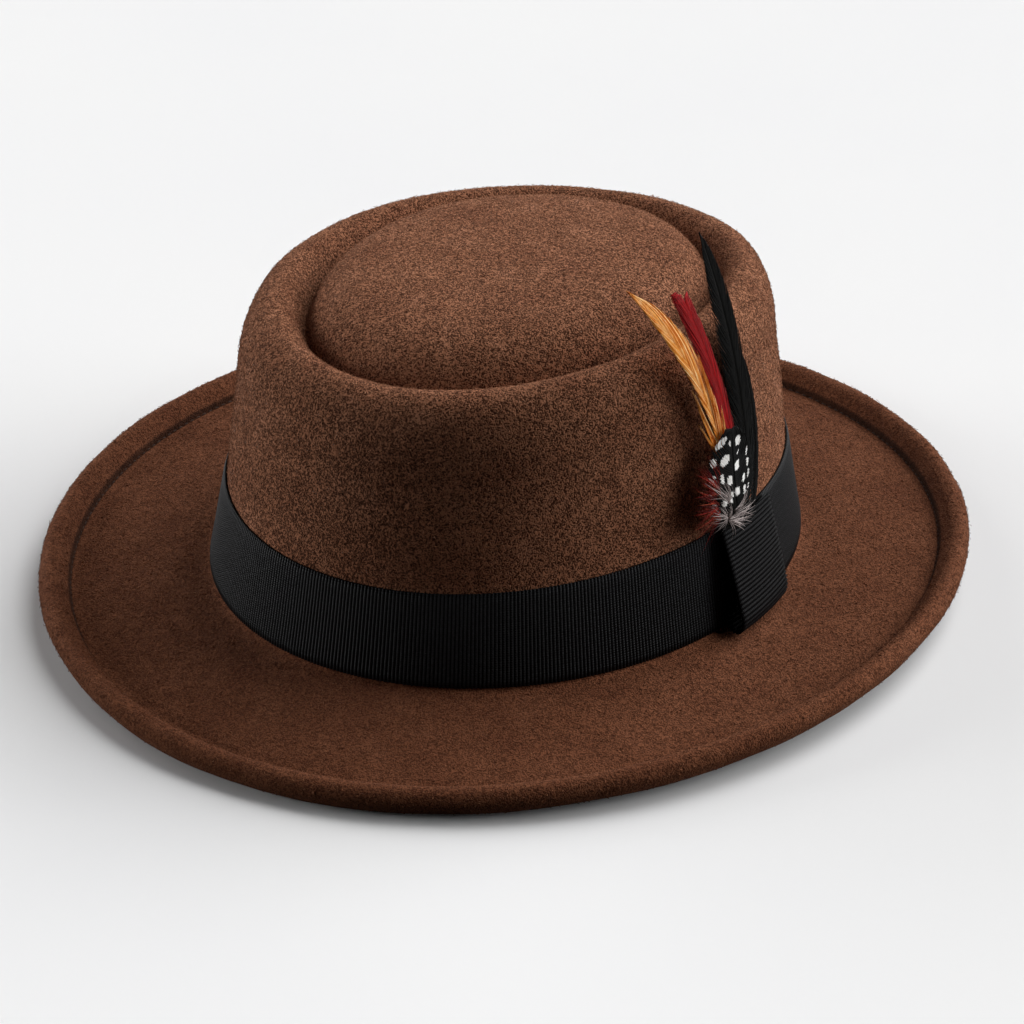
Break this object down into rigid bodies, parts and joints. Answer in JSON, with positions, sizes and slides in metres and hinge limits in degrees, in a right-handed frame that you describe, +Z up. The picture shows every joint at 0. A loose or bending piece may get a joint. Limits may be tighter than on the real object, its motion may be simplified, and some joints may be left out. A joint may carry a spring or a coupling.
{
  "type": "porkpie hat",
  "caption": "Low wool felt hat with a creased round crown, turned-over brim edge, ribbed ribbon band, folded ribbon loop and a bunch of dyed feathers.",
  "frame": {"origin": "on the surface the hat rests on, under the middle of the head opening", "axes": "-Y toward the front of the hat, +X toward the wearer's left where the feathers are, +Z up"},
  "size_m": [0.2756, 0.3064, 0.1286],
  "materials": {
    "felt": "fuzzy brown wool felt",
    "ribbon": "black ribbed grosgrain",
    "feather_black": "glossy black feather",
    "feather_red": "dyed dark red feather",
    "feather_orange": "dyed orange feather",
    "feather_spotted": "black feather with white spots",
    "feather_hackle": "loose red-brown barbs",
    "feather_down": "grey downy fluff"
  },
  "bodies": {
    "root": {"felt_body": "felt", "hat_band": "ribbon", "ribbon_loop": "ribbon", "feather_black_short": "feather_black", "feather_black_long": "feather_black", "feather_red": "feather_red", "feather_orange": "feather_orange", "feather_guinea": "feather_spotted", "feather_hackle": "feather_hackle", "feather_down": "feather_down"}
  },
  "joints": []
}
